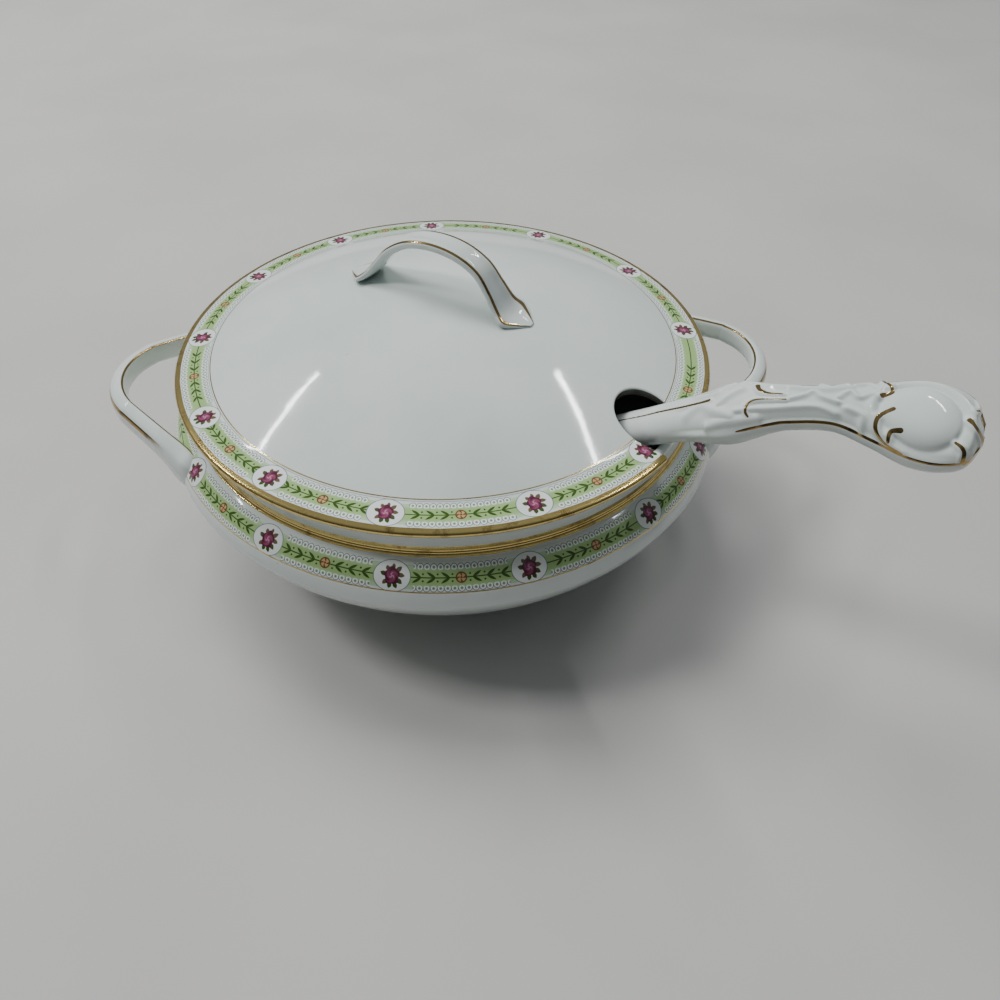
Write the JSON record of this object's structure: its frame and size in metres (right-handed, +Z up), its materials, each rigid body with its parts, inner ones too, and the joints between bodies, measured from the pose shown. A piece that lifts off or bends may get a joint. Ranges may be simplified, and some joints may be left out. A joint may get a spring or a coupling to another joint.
{
  "type": "soup tureen",
  "caption": "Round covered soup tureen with loop side handles, a domed notched lid with a strap grip, and a ladle that leans out through the notch.",
  "frame": {"origin": "middle of the foot ring's resting face", "axes": "+Z up, the two side handles on +X and -X, the ladle leaving on the -Y side"},
  "size_m": [0.3392, 0.2769, 0.1531],
  "materials": {
    "glazed_body": "glossy white glaze with a printed border and gilding",
    "glazed_lid": "glossy white glaze with a printed border and gilding",
    "glazed_ladle": "glossy white glaze with gilded scrolls"
  },
  "bodies": {
    "tureen": {"tureen_bowl": "glazed_body", "foot_ring": "glazed_body", "left_handle": "glazed_body", "right_handle": "glazed_body"},
    "lid": {"lid_cover": "glazed_lid", "lid_flange": "glazed_lid", "lid_grip": "glazed_lid"},
    "ladle": {"ladle_bowl": "glazed_ladle", "ladle_handle": "glazed_ladle"}
  },
  "joints": [
    {"name": "lid_lift", "type": "slide", "parent": "tureen", "child": "lid", "axis": [0, 0, 1], "range_m": [0, 0.26]},
    {"name": "ladle_lift", "type": "slide", "parent": "tureen", "child": "ladle", "axis": [0, 0, 1], "range_m": [0, 0.13]}
  ],
  "couplings": [
    {"joint": "ladle_lift", "follows": "lid_lift", "ratio": 0.5}
  ]
}
